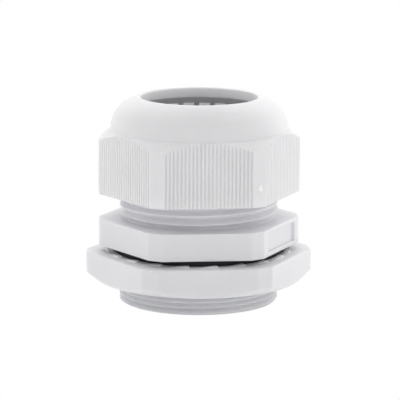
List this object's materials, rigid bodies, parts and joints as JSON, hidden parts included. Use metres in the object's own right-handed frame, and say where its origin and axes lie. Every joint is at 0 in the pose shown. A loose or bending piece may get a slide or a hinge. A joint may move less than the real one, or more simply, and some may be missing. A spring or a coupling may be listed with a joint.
{
  "type": "cable gland",
  "caption": "Domed nylon cable gland with hexagonal body, ribbed compression nut, clamping claws round a rubber seal, flat washer and hexagonal lock nut.",
  "frame": {"origin": "centre of the underside of the body's hexagonal flange, the face that looks at the panel", "axes": "+Z along the cable axis towards the dome; -Z along the panel thread; -Y is the front"},
  "size_m": [0.0668, 0.0626, 0.0606],
  "materials": {
    "nylon": "moulded light grey nylon, satin",
    "seal_rubber": "matt black rubber",
    "washer_rubber": "matt black rubber"
  },
  "bodies": {
    "body": {"gland_body": "nylon"},
    "seal_ring": {"seal": "seal_rubber"},
    "dome_nut": {"dome_nut": "nylon"},
    "washer": {"gasket": "washer_rubber"},
    "lock_nut": {"lock_nut": "nylon"},
    "claw_01": {"finger_01": "nylon"},
    "claw_02": {"finger_02": "nylon"},
    "claw_03": {"finger_03": "nylon"},
    "claw_04": {"finger_04": "nylon"},
    "claw_05": {"finger_05": "nylon"},
    "claw_06": {"finger_06": "nylon"},
    "claw_07": {"finger_07": "nylon"},
    "claw_08": {"finger_08": "nylon"},
    "claw_09": {"finger_09": "nylon"},
    "claw_10": {"finger_10": "nylon"},
    "claw_11": {"finger_11": "nylon"},
    "claw_12": {"finger_12": "nylon"},
    "claw_13": {"finger_13": "nylon"},
    "claw_14": {"finger_14": "nylon"},
    "claw_15": {"finger_15": "nylon"},
    "claw_16": {"finger_16": "nylon"},
    "claw_17": {"finger_17": "nylon"},
    "claw_18": {"finger_18": "nylon"},
    "claw_19": {"finger_19": "nylon"},
    "claw_20": {"finger_20": "nylon"},
    "claw_21": {"finger_21": "nylon"},
    "claw_22": {"finger_22": "nylon"},
    "claw_23": {"finger_23": "nylon"},
    "claw_24": {"finger_24": "nylon"}
  },
  "joints": [
    {"name": "dome_nut_turn", "type": "hinge", "parent": "body", "child": "seal_ring", "pos_m": [0, 0, 0.02], "axis": [0, 0, 1], "range_deg": [-864, 0], "deforming": ["seal"]},
    {"name": "dome_nut_travel", "type": "slide", "parent": "seal_ring", "child": "dome_nut", "axis": [0, 0, 1], "range_m": [-0.006, 0]},
    {"name": "lock_nut_turn", "type": "hinge", "parent": "body", "child": "washer", "pos_m": [0, 0, -0.006], "axis": [0, 0, 1], "range_deg": [-2948.03, 0]},
    {"name": "lock_nut_travel", "type": "slide", "parent": "washer", "child": "lock_nut", "axis": [0, 0, 1], "range_m": [-0.013, 0]},
    {"name": "claw_01_lean", "type": "hinge", "parent": "body", "child": "claw_01", "pos_m": [0.00319, -0.01893, 0.0276], "axis": [-0.9861, -0.1663, 0], "range_deg": [0, 25]},
    {"name": "claw_02_lean", "type": "hinge", "parent": "body", "child": "claw_02", "pos_m": [0.00798, -0.01746, 0.0276], "axis": [-0.9095, -0.4158, 0], "range_deg": [0, 25]},
    {"name": "claw_03_lean", "type": "hinge", "parent": "body", "child": "claw_03", "pos_m": [0.01223, -0.0148, 0.0276], "axis": [-0.7708, -0.637, 0], "range_deg": [0, 25]},
    {"name": "claw_04_lean", "type": "hinge", "parent": "body", "child": "claw_04", "pos_m": [0.01564, -0.01113, 0.0276], "axis": [-0.5797, -0.8148, 0], "range_deg": [0, 25]},
    {"name": "claw_05_lean", "type": "hinge", "parent": "body", "child": "claw_05", "pos_m": [0.01799, -0.0067, 0.0276], "axis": [-0.3491, -0.9371, 0], "range_deg": [0, 25]},
    {"name": "claw_06_lean", "type": "hinge", "parent": "body", "child": "claw_06", "pos_m": [0.01911, -0.00182, 0.0276], "axis": [-0.0946, -0.9955, 0], "range_deg": [0, 25]},
    {"name": "claw_07_lean", "type": "hinge", "parent": "body", "child": "claw_07", "pos_m": [0.01893, 0.00319, 0.0276], "axis": [0.1663, -0.9861, 0], "range_deg": [0, 25]},
    {"name": "claw_08_lean", "type": "hinge", "parent": "body", "child": "claw_08", "pos_m": [0.01746, 0.00798, 0.0276], "axis": [0.4158, -0.9095, 0], "range_deg": [0, 25]},
    {"name": "claw_09_lean", "type": "hinge", "parent": "body", "child": "claw_09", "pos_m": [0.0148, 0.01223, 0.0276], "axis": [0.637, -0.7708, 0], "range_deg": [0, 25]},
    {"name": "claw_10_lean", "type": "hinge", "parent": "body", "child": "claw_10", "pos_m": [0.01113, 0.01564, 0.0276], "axis": [0.8148, -0.5797, 0], "range_deg": [0, 25]},
    {"name": "claw_11_lean", "type": "hinge", "parent": "body", "child": "claw_11", "pos_m": [0.0067, 0.01799, 0.0276], "axis": [0.9371, -0.3491, 0], "range_deg": [0, 25]},
    {"name": "claw_12_lean", "type": "hinge", "parent": "body", "child": "claw_12", "pos_m": [0.00182, 0.01911, 0.0276], "axis": [0.9955, -0.0946, 0], "range_deg": [0, 25]},
    {"name": "claw_13_lean", "type": "hinge", "parent": "body", "child": "claw_13", "pos_m": [-0.00319, 0.01893, 0.0276], "axis": [0.9861, 0.1663, 0], "range_deg": [0, 25]},
    {"name": "claw_14_lean", "type": "hinge", "parent": "body", "child": "claw_14", "pos_m": [-0.00798, 0.01746, 0.0276], "axis": [0.9095, 0.4158, 0], "range_deg": [0, 25]},
    {"name": "claw_15_lean", "type": "hinge", "parent": "body", "child": "claw_15", "pos_m": [-0.01223, 0.0148, 0.0276], "axis": [0.7708, 0.637, 0], "range_deg": [0, 25]},
    {"name": "claw_16_lean", "type": "hinge", "parent": "body", "child": "claw_16", "pos_m": [-0.01564, 0.01113, 0.0276], "axis": [0.5797, 0.8148, 0], "range_deg": [0, 25]},
    {"name": "claw_17_lean", "type": "hinge", "parent": "body", "child": "claw_17", "pos_m": [-0.01799, 0.0067, 0.0276], "axis": [0.3491, 0.9371, 0], "range_deg": [0, 25]},
    {"name": "claw_18_lean", "type": "hinge", "parent": "body", "child": "claw_18", "pos_m": [-0.01911, 0.00182, 0.0276], "axis": [0.0946, 0.9955, 0], "range_deg": [0, 25]},
    {"name": "claw_19_lean", "type": "hinge", "parent": "body", "child": "claw_19", "pos_m": [-0.01893, -0.00319, 0.0276], "axis": [-0.1663, 0.9861, 0], "range_deg": [0, 25]},
    {"name": "claw_20_lean", "type": "hinge", "parent": "body", "child": "claw_20", "pos_m": [-0.01746, -0.00798, 0.0276], "axis": [-0.4158, 0.9095, 0], "range_deg": [0, 25]},
    {"name": "claw_21_lean", "type": "hinge", "parent": "body", "child": "claw_21", "pos_m": [-0.0148, -0.01223, 0.0276], "axis": [-0.637, 0.7708, 0], "range_deg": [0, 25]},
    {"name": "claw_22_lean", "type": "hinge", "parent": "body", "child": "claw_22", "pos_m": [-0.01113, -0.01564, 0.0276], "axis": [-0.8148, 0.5797, 0], "range_deg": [0, 25]},
    {"name": "claw_23_lean", "type": "hinge", "parent": "body", "child": "claw_23", "pos_m": [-0.0067, -0.01799, 0.0276], "axis": [-0.9371, 0.3491, 0], "range_deg": [0, 25]},
    {"name": "claw_24_lean", "type": "hinge", "parent": "body", "child": "claw_24", "pos_m": [-0.00182, -0.01911, 0.0276], "axis": [-0.9955, 0.0946, 0], "range_deg": [0, 25]}
  ],
  "couplings": [
    {"joint": "dome_nut_travel", "follows": "dome_nut_turn", "m_per_rad": 0.00039789},
    {"joint": "lock_nut_travel", "follows": "lock_nut_turn", "m_per_rad": 0.00025266},
    {"joint": "claw_01_lean", "follows": "dome_nut_turn", "ratio": -0.02893},
    {"joint": "claw_02_lean", "follows": "dome_nut_turn", "ratio": -0.02893},
    {"joint": "claw_03_lean", "follows": "dome_nut_turn", "ratio": -0.02893},
    {"joint": "claw_04_lean", "follows": "dome_nut_turn", "ratio": -0.02893},
    {"joint": "claw_05_lean", "follows": "dome_nut_turn", "ratio": -0.02893},
    {"joint": "claw_06_lean", "follows": "dome_nut_turn", "ratio": -0.02893},
    {"joint": "claw_07_lean", "follows": "dome_nut_turn", "ratio": -0.02893},
    {"joint": "claw_08_lean", "follows": "dome_nut_turn", "ratio": -0.02893},
    {"joint": "claw_09_lean", "follows": "dome_nut_turn", "ratio": -0.02893},
    {"joint": "claw_10_lean", "follows": "dome_nut_turn", "ratio": -0.02893},
    {"joint": "claw_11_lean", "follows": "dome_nut_turn", "ratio": -0.02893},
    {"joint": "claw_12_lean", "follows": "dome_nut_turn", "ratio": -0.02893},
    {"joint": "claw_13_lean", "follows": "dome_nut_turn", "ratio": -0.02893},
    {"joint": "claw_14_lean", "follows": "dome_nut_turn", "ratio": -0.02893},
    {"joint": "claw_15_lean", "follows": "dome_nut_turn", "ratio": -0.02893},
    {"joint": "claw_16_lean", "follows": "dome_nut_turn", "ratio": -0.02893},
    {"joint": "claw_17_lean", "follows": "dome_nut_turn", "ratio": -0.02893},
    {"joint": "claw_18_lean", "follows": "dome_nut_turn", "ratio": -0.02893},
    {"joint": "claw_19_lean", "follows": "dome_nut_turn", "ratio": -0.02893},
    {"joint": "claw_20_lean", "follows": "dome_nut_turn", "ratio": -0.02893},
    {"joint": "claw_21_lean", "follows": "dome_nut_turn", "ratio": -0.02893},
    {"joint": "claw_22_lean", "follows": "dome_nut_turn", "ratio": -0.02893},
    {"joint": "claw_23_lean", "follows": "dome_nut_turn", "ratio": -0.02893},
    {"joint": "claw_24_lean", "follows": "dome_nut_turn", "ratio": -0.02893}
  ]
}
